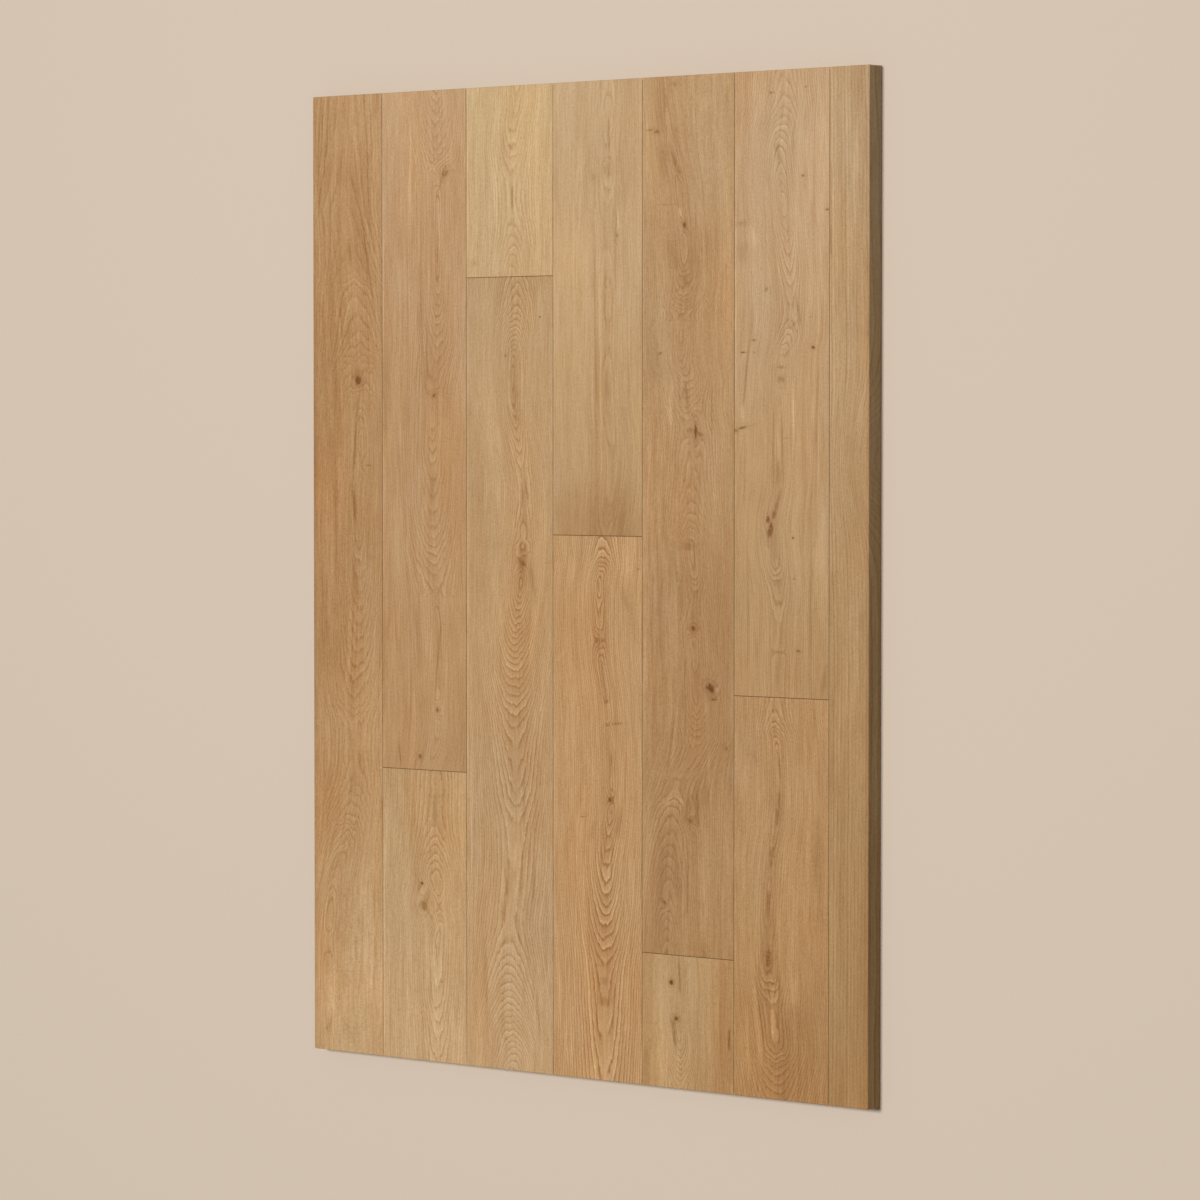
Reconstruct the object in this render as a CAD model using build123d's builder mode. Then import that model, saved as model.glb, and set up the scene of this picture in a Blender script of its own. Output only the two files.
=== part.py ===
# A panel of solid oak parquet floorboards, laid in staggered rows and trimmed to size.
# It lies flat with its face up. All sizes are in millimetres.
# X runs across the boards, Y along them from the foot of the panel to its head, Z up.
# The origin is at the middle of the panel's underside.

import os

from build123d import *

# One board as it is milled
board_width = 120.0  # face width that a whole board covers
board_thickness = 20.0
micro_bevel = 0.5  # on the four edges of the face

# Tongue and groove: tongue on the right edge and the head, groove on the left edge and the foot
tongue_length = 5.0
tongue_thickness = 5.0
tongue_under_face = 8.0  # from the face down to the tongue
tongue_nose = 0.8  # chamfer on the tongue's leading corners
groove_play = 0.15  # between the tongue and each cheek of the groove
groove_end_play = 0.5  # between the tongue's nose and the bottom of the groove
shoulder_gap = 0.4  # the joint closes at the face, so the shoulders under the tongue stay apart

# Relief kerfs along the back of a board, which keep it from cupping
kerf_count = 3
kerf_pitch = 30.0
kerf_width = 6.0
kerf_depth = 3.0

# The panel, with its outer rows ripped and its row ends cut off square
panel_length = 1020.0
whole_rows = 5
first_row_width = 101.0
last_row_width = 49.0
trim_allowance = 12.0  # what a board runs past the head or foot before the panel is trimmed
edge_easing = 0.5  # arris taken off round the face and the back of the trimmed panel
corner_easing = 1.0  # the same on its four upright corners

# Distance of each row's end joint from the foot of the panel
row_2_joint = 307.0
row_3_joint = 823.0
row_4_joint = 557.0
row_5_joint = 135.0
row_6_joint = 400.0

# Worked out from the sizes above
panel_width = first_row_width + whole_rows * board_width + last_row_width
panel_left = -panel_width / 2
panel_foot = -panel_length / 2
panel_head = panel_length / 2
first_seam = panel_left + first_row_width
tongue_low = board_thickness - tongue_under_face - tongue_thickness
groove_depth = tongue_length + groove_end_play
groove_thickness = tongue_thickness + 2 * groove_play
groove_low = tongue_low - groove_play
end_joints = {2: row_2_joint, 3: row_3_joint, 4: row_4_joint, 5: row_5_joint, 6: row_6_joint}
low_corner = (Align.MIN, Align.MIN)

# The trimmed outline of the whole panel, with its edges eased
with BuildPart() as panel_outline:
    Box(panel_width, panel_length, board_thickness, align=(Align.CENTER, Align.CENTER, Align.MIN))
    chamfer(panel_outline.edges().filter_by(Axis.Z), corner_easing)
    chamfer(panel_outline.faces().sort_by(Axis.Z)[-1].edges(), edge_easing)
    chamfer(panel_outline.faces().sort_by(Axis.Z)[0].edges(), edge_easing)


def lay_board(label, row, foot, head):
    """Mills one whole board, lays it in its row from foot to head, and trims it to the panel."""
    left = first_seam + (row - 2) * board_width
    right = left + board_width
    middle = (left + right) / 2
    with BuildPart() as board:
        # Cross-section: body, long tongue, long groove, set-back shoulder and relief kerfs
        with BuildSketch(Plane.XZ.offset(-head)) as section:
            with Locations((left, 0)):
                Rectangle(board_width, board_thickness, align=low_corner)
            with Locations((right, tongue_low)):
                Rectangle(tongue_length, tongue_thickness, align=low_corner)
            chamfer(section.vertices().group_by(Axis.X)[-1], tongue_nose)
            with Locations((right - shoulder_gap, 0)):
                Rectangle(shoulder_gap, tongue_low, align=low_corner, mode=Mode.SUBTRACT)
            with Locations((left, groove_low)):
                Rectangle(groove_depth, groove_thickness, align=low_corner, mode=Mode.SUBTRACT)
            with Locations((middle, 0)):
                with GridLocations(kerf_pitch, 0, kerf_count, 1):
                    Rectangle(
                        kerf_width,
                        kerf_depth,
                        align=(Align.CENTER, Align.MIN),
                        mode=Mode.SUBTRACT,
                    )
        extrude(amount=head - foot)
        chamfer(board.faces().sort_by(Axis.Z)[-1].edges(), micro_bevel)

        # Tongue across the head, between the long groove and the long tongue
        with BuildSketch(Plane.XZ.offset(-head)):
            with Locations((left + groove_depth, tongue_low)):
                Rectangle(board_width - groove_depth, tongue_thickness, align=low_corner)
        extrude(amount=-tongue_length)
        chamfer(board.faces().sort_by(Axis.Y)[-1].edges().filter_by(Axis.X), tongue_nose)
        with BuildSketch(Plane.XZ.offset(-head)):
            with Locations((left, 0)):
                Rectangle(board_width, tongue_low, align=low_corner)
        extrude(amount=shoulder_gap, mode=Mode.SUBTRACT)

        # Groove across the foot, through the long tongue too
        with BuildSketch(Plane.XZ.offset(-foot)):
            with Locations((left, groove_low)):
                Rectangle(board_width + tongue_length, groove_thickness, align=low_corner)
        extrude(amount=-groove_depth, mode=Mode.SUBTRACT)

        add(panel_outline.part, mode=Mode.INTERSECT)
    board.part.label = label
    export_step(board.part, f"parts/{label}.step")


os.makedirs("parts", exist_ok=True)
stock_foot = panel_foot - trim_allowance
stock_head = panel_head + trim_allowance
for row in range(1, whole_rows + 3):
    if row in end_joints:
        joint = panel_foot + end_joints[row]
        lay_board(f"row_{row}_foot_board", row, stock_foot, joint)
        lay_board(f"row_{row}_head_board", row, joint, stock_head)
    else:
        lay_board(f"row_{row}_board", row, stock_foot, stock_head)
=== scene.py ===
from math import radians

import bpy
from mathutils import Matrix, Vector

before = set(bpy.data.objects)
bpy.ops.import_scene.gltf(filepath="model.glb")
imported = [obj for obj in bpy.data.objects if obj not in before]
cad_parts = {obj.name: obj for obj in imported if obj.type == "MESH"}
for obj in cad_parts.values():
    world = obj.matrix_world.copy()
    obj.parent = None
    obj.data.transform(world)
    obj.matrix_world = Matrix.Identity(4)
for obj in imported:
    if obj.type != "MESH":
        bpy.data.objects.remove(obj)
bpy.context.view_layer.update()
print("panel loaded:", len(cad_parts), "boards")

# Boards are placed in millimetres from the panel's left edge and its foot, z up from the underside
panel = {
    "width": 750.0,
    "length": 1020.0,
    "thickness": 20.0,
    "firstSeam": 101.0,  # right edge of the first row
    "rowPitch": 120.0,
}


def srgb(red, green, blue):
    out = []
    for level in (red, green, blue):
        part = level / 255
        out.append(part / 12.92 if part <= 0.04045 else ((part + 0.055) / 1.055) ** 2.4)
    return (*out, 1.0)


# Small helpers for node trees: a socket is linked, a plain value is set
def feed(tree, socket, value):
    if isinstance(value, bpy.types.NodeSocket):
        tree.links.new(value, socket)
    elif value is not None:
        socket.default_value = value


def calc(tree, what, first, second=None, third=None):
    node = tree.nodes.new("ShaderNodeMath")
    node.operation = what
    for socket, value in zip(node.inputs, (first, second, third)):
        feed(tree, socket, value)
    return node.outputs[0]


def vectorCalc(tree, what, first, second=None, third=None):
    node = tree.nodes.new("ShaderNodeVectorMath")
    node.operation = what
    for socket, value in zip(node.inputs, (first, second, third)):
        feed(tree, socket, value)
    return node.outputs[0]


def split(tree, vector):
    node = tree.nodes.new("ShaderNodeSeparateXYZ")
    feed(tree, node.inputs[0], vector)
    return node.outputs


def join(tree, x, y, z):
    node = tree.nodes.new("ShaderNodeCombineXYZ")
    for socket, value in zip(node.inputs, (x, y, z)):
        feed(tree, socket, value)
    return node.outputs[0]


def fade(tree, value, low, high):
    node = tree.nodes.new("ShaderNodeMapRange")
    node.interpolation_type = "SMOOTHSTEP"
    feed(tree, node.inputs["Value"], value)
    feed(tree, node.inputs["From Min"], low)
    feed(tree, node.inputs["From Max"], high)
    return node.outputs[0]


def noise(tree, place, stretch, seed, detail=2.0, roughness=0.5):
    node = tree.nodes.new("ShaderNodeTexNoise")
    feed(tree, node.inputs["Vector"], vectorCalc(tree, "MULTIPLY_ADD", place, stretch, seed))
    node.inputs["Scale"].default_value = 1.0
    node.inputs["Detail"].default_value = detail
    node.inputs["Roughness"].default_value = roughness
    return node.outputs[0]


def mixColour(tree, amount, first, second):
    node = tree.nodes.new("ShaderNodeMix")
    node.data_type = "RGBA"
    feed(tree, node.inputs[0], amount)
    feed(tree, node.inputs[6], first)
    feed(tree, node.inputs[7], second)
    return node.outputs[2]


def newGroup(name, inputs, outputs):
    tree = bpy.data.node_groups.new(name, "ShaderNodeTree")
    for label, kind in inputs:
        tree.interface.new_socket(name=label, in_out="INPUT", socket_type="NodeSocket" + kind)
    for label, kind in outputs:
        tree.interface.new_socket(name=label, in_out="OUTPUT", socket_type="NodeSocket" + kind)
    given = tree.nodes.new("NodeGroupInput").outputs
    result = tree.nodes.new("NodeGroupOutput").inputs
    return tree, given, result


def place(tree, group, values):
    node = tree.nodes.new("ShaderNodeGroup")
    node.node_tree = group
    for label, value in values.items():
        feed(tree, node.inputs[label], value)
    return node.outputs


# Growth rings round a heart that runs along the board above its face, sizes in mm
ringLook = {
    "wander": 8.0,  # slow sideways drift of the grain, mm
    "ripple": 2.2,
    "crest": 1.2,
    "uneven": 2.6,  # good and poor years
    "zigzag": (0.13, 0.02, 0.13),  # per mm, the saw-tooth look of the arches
    "deepest": 100.0,  # top of the depth curves, mm
    "probe": 4.0,  # over which the depth's slope is taken, mm
    "leanReach": 45.0,  # how far from the heart the fibres lean with it, mm
}


def makeRingFigure():
    tree, given, result = newGroup(
        "ringFigure",
        [
            ("Position", "Vector"),
            ("Heart", "Float"),
            ("Depth", "Float"),
            ("Slope", "Float"),
            ("Spread", "Float"),
            ("Push", "Float"),
            ("Ring Width", "Float"),
            ("Even", "Float"),
            ("Seed", "Float"),
        ],
        [("Early", "Float"), ("Late", "Float"), ("Ring Tone", "Float")],
    )
    spot = given["Position"]
    seed = given["Seed"]
    x, y, z = split(tree, spot)

    def swing(stretch, amount, detail):
        raw = noise(tree, spot, stretch, seed, detail)
        return calc(tree, "MULTIPLY", calc(tree, "SUBTRACT", raw, 0.5), amount)

    across = calc(tree, "SUBTRACT", x, given["Heart"])
    across = calc(tree, "ADD", across, swing((0.008, 0.004, 0.008), ringLook["wander"], 2.0))
    across = calc(tree, "DIVIDE", across, given["Spread"])
    under = calc(tree, "ADD", given["Depth"], calc(tree, "SUBTRACT", panel["thickness"], z))
    across = calc(tree, "MULTIPLY", across, across)
    under = calc(tree, "MULTIPLY", under, under)
    radius = calc(tree, "SQRT", calc(tree, "ADD", across, under))
    flat = calc(tree, "DIVIDE", calc(tree, "SQRT", under), radius)  # 1 where a ring is cut along its skin
    rise = calc(tree, "MULTIPLY", flat, given["Slope"])
    side = calc(tree, "SUBTRACT", 1.0, calc(tree, "MULTIPLY", flat, flat))
    steep = calc(tree, "SQRT", calc(tree, "MULTIPLY_ADD", rise, rise, side))
    clear = fade(tree, steep, 0.05, 0.18)  # a ring that lies in the face shows no line
    clear = calc(tree, "MULTIPLY", clear, fade(tree, calc(tree, "ABSOLUTE", rise), 1.3, 0.7))
    clear = calc(tree, "MULTIPLY", clear, calc(tree, "MULTIPLY_ADD", flat, 0.62, 0.38))

    radius = calc(tree, "ADD", radius, given["Push"])
    years = noise(tree, calc(tree, "MULTIPLY", radius, 0.09), (1.0, 0.3, 0.6), seed, 1.0)
    radius = calc(tree, "MULTIPLY_ADD", years, ringLook["uneven"], radius)
    radius = calc(tree, "ADD", radius, swing((0.05, 0.015, 0.05), ringLook["ripple"], 2.0))
    radius = calc(tree, "ADD", radius, swing((0.30, 0.10, 0.30), ringLook["crest"], 2.0))
    count = calc(tree, "DIVIDE", radius, given["Ring Width"])
    part = calc(tree, "FRACT", count)
    early = calc(tree, "MULTIPLY", fade(tree, part, 0.0, 0.08), fade(tree, part, 0.44, 0.10))
    late = calc(tree, "MULTIPLY", fade(tree, part, 0.62, 0.90), fade(tree, part, 1.0, 0.95))
    dice = tree.nodes.new("ShaderNodeTexWhiteNoise")
    dice.noise_dimensions = "1D"
    feed(tree, dice.inputs["W"], calc(tree, "ADD", calc(tree, "FLOOR", count), seed))
    year = dice.outputs["Value"]  # most years are faint, a few are bold
    strength = calc(tree, "MULTIPLY_ADD", calc(tree, "MULTIPLY", year, year), 0.95, 0.2)
    change = calc(tree, "SUBTRACT", 0.6, strength)
    strength = calc(tree, "MULTIPLY_ADD", change, given["Even"], strength)
    strength = calc(tree, "MULTIPLY", strength, clear)
    feed(tree, result["Early"], calc(tree, "MULTIPLY", early, strength))
    feed(tree, result["Late"], calc(tree, "MULTIPLY", late, strength))
    feed(tree, result["Ring Tone"], calc(tree, "MULTIPLY", calc(tree, "SUBTRACT", year, 0.5), clear))
    return tree


# A knot: a dark core, a brown halo, ripples round it, a push on the rings and a bend that parts the fibres
knotLook = {
    "bands": 9.0,  # dark bands inside the core, radians per knot radius
    "waves": 6.0,  # ripples outside it
    "ripples": -0.22,
    "wobble": 1.1,  # how ragged knots and streaks are
}


def makeKnot():
    tree, given, result = newGroup(
        "knot",
        [
            ("Position", "Vector"),
            ("Wobble", "Float"),
            ("Centre X", "Float"),
            ("Centre Y", "Float"),
            ("Half Width", "Float"),
            ("Half Length", "Float"),
            ("Swell", "Float"),
            ("Dark", "Float"),
            ("Turn", "Float"),
        ],
        [("Push", "Float"), ("Bend", "Float"), ("Core", "Float"), ("Halo", "Float"), ("Ripples", "Float")],
    )
    x, y, z = split(tree, given["Position"])
    dx = calc(tree, "SUBTRACT", x, given["Centre X"])
    dy = calc(tree, "SUBTRACT", y, given["Centre Y"])
    angle = calc(tree, "RADIANS", given["Turn"])
    cosine = calc(tree, "COSINE", angle)
    sine = calc(tree, "SINE", angle)
    u = calc(tree, "ADD", calc(tree, "MULTIPLY", dx, cosine), calc(tree, "MULTIPLY", dy, sine))
    v = calc(tree, "SUBTRACT", calc(tree, "MULTIPLY", dy, cosine), calc(tree, "MULTIPLY", dx, sine))
    u = calc(tree, "DIVIDE", u, given["Half Width"])
    v = calc(tree, "DIVIDE", v, given["Half Length"])
    u = calc(tree, "MULTIPLY", u, u)
    v = calc(tree, "MULTIPLY", v, v)
    reach = calc(tree, "SQRT", calc(tree, "ADD", u, v))
    ragged = calc(tree, "ADD", reach, given["Wobble"])
    bands = calc(tree, "COSINE", calc(tree, "MULTIPLY", ragged, knotLook["bands"]))
    bands = calc(tree, "MULTIPLY_ADD", bands, 0.14, 0.86)
    core = calc(tree, "MULTIPLY", fade(tree, ragged, 1.15, 0.45), given["Dark"])
    halo = calc(tree, "MULTIPLY", fade(tree, ragged, 2.6, 0.6), given["Dark"])
    wide = calc(tree, "ADD", calc(tree, "MULTIPLY", u, 0.14), calc(tree, "MULTIPLY", v, 0.10))
    bulge = calc(tree, "EXPONENT", calc(tree, "MULTIPLY", wide, -1.0))
    swell = calc(tree, "MINIMUM", calc(tree, "MULTIPLY", given["Swell"], 0.05), 0.5)
    feed(tree, result["Push"], calc(tree, "MULTIPLY", bulge, given["Swell"]))
    feed(tree, result["Bend"], calc(tree, "MULTIPLY", calc(tree, "MULTIPLY", bulge, swell), dx))
    feed(tree, result["Core"], calc(tree, "MULTIPLY", core, bands))
    feed(tree, result["Halo"], halo)
    waves = calc(tree, "COSINE", calc(tree, "MULTIPLY", ragged, knotLook["waves"]))
    waves = calc(tree, "MULTIPLY_ADD", waves, 0.5, 0.5)
    waves = calc(tree, "MULTIPLY", waves, fade(tree, ragged, 3.6, 1.2))
    weight = calc(tree, "MINIMUM", calc(tree, "MULTIPLY", given["Swell"], 0.15), given["Dark"])
    feed(tree, result["Ripples"], calc(tree, "MULTIPLY", waves, weight))
    return tree


# A streak along the grain, darker or paler than the ground, from a low to a high end
def makeStreak():
    tree, given, result = newGroup(
        "streak",
        [
            ("Position", "Vector"),
            ("Wobble", "Float"),
            ("Low X", "Float"),
            ("Low Y", "Float"),
            ("High X", "Float"),
            ("High Y", "Float"),
            ("Half Width", "Float"),
            ("Strength", "Float"),
        ],
        [("Shade", "Float")],
    )
    x, y, z = split(tree, given["Position"])
    span = calc(tree, "SUBTRACT", given["High Y"], given["Low Y"])
    along = calc(tree, "DIVIDE", calc(tree, "SUBTRACT", y, given["Low Y"]), span)
    lean = calc(tree, "SUBTRACT", given["High X"], given["Low X"])
    middle = calc(tree, "MULTIPLY_ADD", lean, along, given["Low X"])
    off = calc(tree, "DIVIDE", calc(tree, "SUBTRACT", x, middle), given["Half Width"])
    off = calc(tree, "ADD", off, given["Wobble"])
    line = calc(tree, "EXPONENT", calc(tree, "MULTIPLY", calc(tree, "MULTIPLY", off, off), -1.0))
    ends = calc(tree, "ABSOLUTE", calc(tree, "MULTIPLY_ADD", along, 2.0, -1.0))
    ends = calc(tree, "MULTIPLY_ADD", given["Wobble"], 0.4, ends)
    line = calc(tree, "MULTIPLY", line, fade(tree, ends, 1.0, 0.25))
    feed(tree, result["Shade"], calc(tree, "MULTIPLY", line, given["Strength"]))
    return tree


# Which side of a board a point is on: trimmed end, ripped side, raw back, seam bevel where shade is
# painted, strip beside a seam where a highlight is painted
def makeBoardSides():
    tree, given, result = newGroup(
        "boardSides",
        [("Position", "Vector"), ("Normal", "Vector")],
        [("End", "Float"), ("Side", "Float"), ("Back", "Float"), ("Seam", "Float"), ("Edge Highlight", "Float")],
    )
    x, y, z = split(tree, given["Position"])
    nx, ny, nz = split(tree, given["Normal"])
    feed(tree, result["Side"], fade(tree, calc(tree, "ABSOLUTE", nx), 0.8, 0.95))
    feed(tree, result["End"], fade(tree, calc(tree, "ABSOLUTE", ny), 0.8, 0.95))
    feed(tree, result["Back"], fade(tree, nz, -0.6, -0.9))
    fromMiddle = calc(tree, "ABSOLUTE", calc(tree, "SUBTRACT", x, panel["width"] / 2))
    fromCentre = calc(tree, "ABSOLUTE", calc(tree, "SUBTRACT", y, panel["length"] / 2))
    inside = calc(tree, "LESS_THAN", fromMiddle, panel["width"] / 2 - 2.0)
    inside = calc(tree, "MULTIPLY", inside, calc(tree, "LESS_THAN", fromCentre, panel["length"] / 2 - 2.0))
    # Seam bevels below the face, inside the panel's outline: painted shade in the grooves between boards
    low = fade(tree, z, panel["thickness"] - 0.02, panel["thickness"] - 0.3)
    feed(tree, result["Seam"], calc(tree, "MULTIPLY", low, inside))
    # A strip 0.9 to 3 mm right of each seam, made paler as a painted highlight
    fromSeam = calc(tree, "SUBTRACT", x, panel["firstSeam"])
    fromSeam = calc(tree, "FLOORED_MODULO", fromSeam, panel["rowPitch"])
    feed(tree, result["Edge Highlight"], fade(tree, fromSeam, 3.0, 0.9))
    return tree


# Colour, gloss and relief of oiled oak from the figure of one board
oakLook = {
    "dark": (0.70, 0.535, 0.35),  # of the board's tone
    "pale": (1.27, 1.44, 1.70),
    "fine": (0.60, 0.80, 1.16),  # how the finest grain tints each colour
    "shade": (0.70, 0.92, 1.22),  # how streaks tint it
    "warmth": (0.14, 0.0, -0.22),  # slow drift between golden and pinkish wood
    "fibre": 0.44,
    "broad": 0.40,
    "cloud": 0.32,
    "veins": -0.16,
    "early": -0.42,
    "late": 0.20,
    "strand": 0.55,
    "grit": 0.58,
    "pores": -0.26,
    "barkBrown": srgb(118, 74, 26),
    "knotBrown": srgb(78, 40, 2),
    "haloBrown": srgb(138, 94, 48),
    # the next two paint shade into the seam bevels: its colour and how far towards it
    "seamShadeBrown": srgb(72, 50, 28),
    "seamShadeDark": 0.65,
    "endShade": (0.66, 0.68, 0.70),
    "sideTint": (0.86, 0.98, 1.06),
    "broadStreak": 10.0,  # half width from which a streak stains the wood and is no longer a fine line, mm
    "relief": 0.35,
    "reliefDepth": 0.0002,  # metres
    "gloss": 0.25,
}


def makeOakSurface():
    tree, given, result = newGroup(
        "oakSurface",
        [
            ("Position", "Vector"),
            ("Fibre Place", "Vector"),
            ("Tone", "Color"),
            ("Early", "Float"),
            ("Late", "Float"),
            ("Ring Tone", "Float"),
            ("Figure", "Float"),
            ("Grain", "Float"),
            ("Shade", "Float"),
            ("Stain", "Float"),
            ("Core", "Float"),
            ("Halo", "Float"),
            ("End", "Float"),
            ("Side", "Float"),
            ("Back", "Float"),
            ("Seam", "Float"),
            ("Edge Highlight", "Float"),
            ("Seed", "Float"),
        ],
        [("Color", "Color"), ("Roughness", "Float"), ("Height", "Float")],
    )
    spot = given["Fibre Place"]
    seed = given["Seed"]
    fibre = noise(tree, spot, (0.28, 0.009, 0.28), seed, 2.0, 0.6)
    strand = noise(tree, spot, (0.52, 0.035, 0.52), seed, 1.0)
    grit = noise(tree, spot, (0.58, 0.46, 0.58), seed, 1.0)
    broad = noise(tree, spot, (0.045, 0.003, 0.045), seed, 2.0)
    cloud = noise(tree, spot, (0.022, 0.007, 0.022), seed, 2.0)
    hue = noise(tree, spot, (0.013, 0.006, 0.013), seed, 1.0)
    vein = noise(tree, spot, (0.055, 0.0022, 0.055), seed, 1.0)
    vein = fade(tree, calc(tree, "ABSOLUTE", calc(tree, "SUBTRACT", vein, 0.5)), 0.035, 0.0)
    vein = calc(tree, "MULTIPLY", vein, fade(tree, broad, 0.45, 0.6))
    dashes = fade(tree, noise(tree, spot, (0.70, 0.13, 0.70), seed, 1.0), 0.57, 0.70)
    pores = calc(tree, "MULTIPLY", dashes, calc(tree, "MULTIPLY_ADD", given["Early"], 0.6, 0.4))

    level = calc(tree, "MULTIPLY", calc(tree, "SUBTRACT", fibre, 0.5), oakLook["fibre"])
    level = calc(tree, "MULTIPLY_ADD", vein, oakLook["veins"], level)
    level = calc(tree, "MULTIPLY_ADD", level, given["Grain"], 0.5)
    level = calc(tree, "MULTIPLY_ADD", calc(tree, "SUBTRACT", broad, 0.5), oakLook["broad"], level)
    level = calc(tree, "MULTIPLY_ADD", calc(tree, "SUBTRACT", cloud, 0.5), oakLook["cloud"], level)
    rings = calc(tree, "MULTIPLY", given["Early"], oakLook["early"])
    rings = calc(tree, "MULTIPLY_ADD", given["Late"], oakLook["late"], rings)
    rings = calc(tree, "MULTIPLY_ADD", given["Ring Tone"], 0.10, rings)
    level = calc(tree, "MULTIPLY_ADD", rings, given["Figure"], level)
    level = calc(tree, "ADD", level, given["Stain"])
    # Painted highlight: the strip beside each seam is made paler
    level = calc(tree, "MULTIPLY_ADD", given["Edge Highlight"], 0.12, level)
    level = calc(tree, "MULTIPLY_ADD", given["Back"], 0.10, level)
    plain = (1.0, 1.0, 1.0)  # leaves a colour as it is
    dark = vectorCalc(tree, "MULTIPLY", given["Tone"], oakLook["dark"])
    pale = vectorCalc(tree, "MULTIPLY", given["Tone"], oakLook["pale"])
    colour = mixColour(tree, level, dark, pale)
    fine = calc(tree, "MULTIPLY", calc(tree, "SUBTRACT", strand, 0.5), oakLook["strand"])
    fine = calc(tree, "MULTIPLY_ADD", calc(tree, "SUBTRACT", grit, 0.5), oakLook["grit"], fine)
    fine = calc(tree, "MULTIPLY_ADD", pores, oakLook["pores"], fine)
    fine = calc(tree, "MULTIPLY", fine, given["Grain"])
    fine = vectorCalc(tree, "MULTIPLY_ADD", fine, oakLook["fine"], plain)
    colour = vectorCalc(tree, "MULTIPLY", colour, fine)
    shade = calc(tree, "MAXIMUM", given["Shade"], -0.6)
    shade = vectorCalc(tree, "MULTIPLY_ADD", shade, oakLook["shade"], plain)
    colour = vectorCalc(tree, "MULTIPLY", colour, shade)
    tint = vectorCalc(tree, "MULTIPLY_ADD", calc(tree, "SUBTRACT", hue, 0.5), oakLook["warmth"], plain)
    colour = vectorCalc(tree, "MULTIPLY", colour, tint)
    colour = mixColour(tree, calc(tree, "MULTIPLY", given["Halo"], 0.4), colour, oakLook["haloBrown"])
    speck = calc(tree, "MULTIPLY_ADD", fade(tree, grit, 0.4, 0.65), -0.25, 1.0)
    core = calc(tree, "MULTIPLY", given["Core"], speck)
    colour = mixColour(tree, fade(tree, core, 0.0, 0.55), colour, oakLook["barkBrown"])
    colour = mixColour(tree, fade(tree, core, 0.5, 1.0), colour, oakLook["knotBrown"])
    # Painted shade: the seam bevels are darkened towards a dark brown
    seamShade = calc(tree, "MULTIPLY", given["Seam"], oakLook["seamShadeDark"])
    colour = mixColour(tree, seamShade, colour, oakLook["seamShadeBrown"])
    endColour = vectorCalc(tree, "MULTIPLY", colour, oakLook["endShade"])
    colour = mixColour(tree, given["End"], colour, endColour)
    sideColour = vectorCalc(tree, "MULTIPLY", colour, oakLook["sideTint"])
    colour = mixColour(tree, given["Side"], colour, sideColour)
    feed(tree, result["Color"], colour)

    raw = calc(tree, "MAXIMUM", given["End"], given["Back"])
    rough = calc(tree, "MULTIPLY_ADD", given["Early"], 0.08, 0.52)
    rough = calc(tree, "MULTIPLY_ADD", strand, 0.10, rough)
    feed(tree, result["Roughness"], calc(tree, "MULTIPLY_ADD", raw, 0.25, rough))
    x, y, z = split(tree, given["Position"])
    planed = calc(tree, "MULTIPLY", calc(tree, "SINE", calc(tree, "MULTIPLY", y, 2.6)), given["Back"])
    ridge = noise(tree, given["Position"], (0.52, 0.035, 0.52), seed, 1.0)
    dents = fade(tree, noise(tree, given["Position"], (0.70, 0.13, 0.70), seed, 1.0), 0.57, 0.70)
    height = calc(tree, "MULTIPLY_ADD", ridge, 0.35, calc(tree, "MULTIPLY", planed, 0.4))
    feed(tree, result["Height"], calc(tree, "MULTIPLY_ADD", dents, -0.5, height))
    return tree


ringFigure = makeRingFigure()
knotGroup = makeKnot()
streakGroup = makeStreak()
boardSides = makeBoardSides()
oakSurface = makeOakSurface()
print("oak groups made")


# A smooth curve along a board through (mm from the panel's foot, value) points
def alongBoard(tree, y, points, top):
    first = points[0][0]
    span = points[-1][0] - first
    node = tree.nodes.new("ShaderNodeFloatCurve")
    knobs = node.mapping.curves[0].points
    spots = [((far - first) / span, value / top) for far, value in points]
    knobs[0].location = spots[0]
    knobs[1].location = spots[-1]
    for far, value in spots[1:-1]:
        knobs.new(far, value)
    for knob in knobs:
        knob.handle_type = "AUTO_CLAMPED"
    node.mapping.update()
    feed(tree, node.inputs["Value"], calc(tree, "DIVIDE", calc(tree, "SUBTRACT", y, first), span))
    return calc(tree, "MULTIPLY", node.outputs[0], top)


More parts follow.
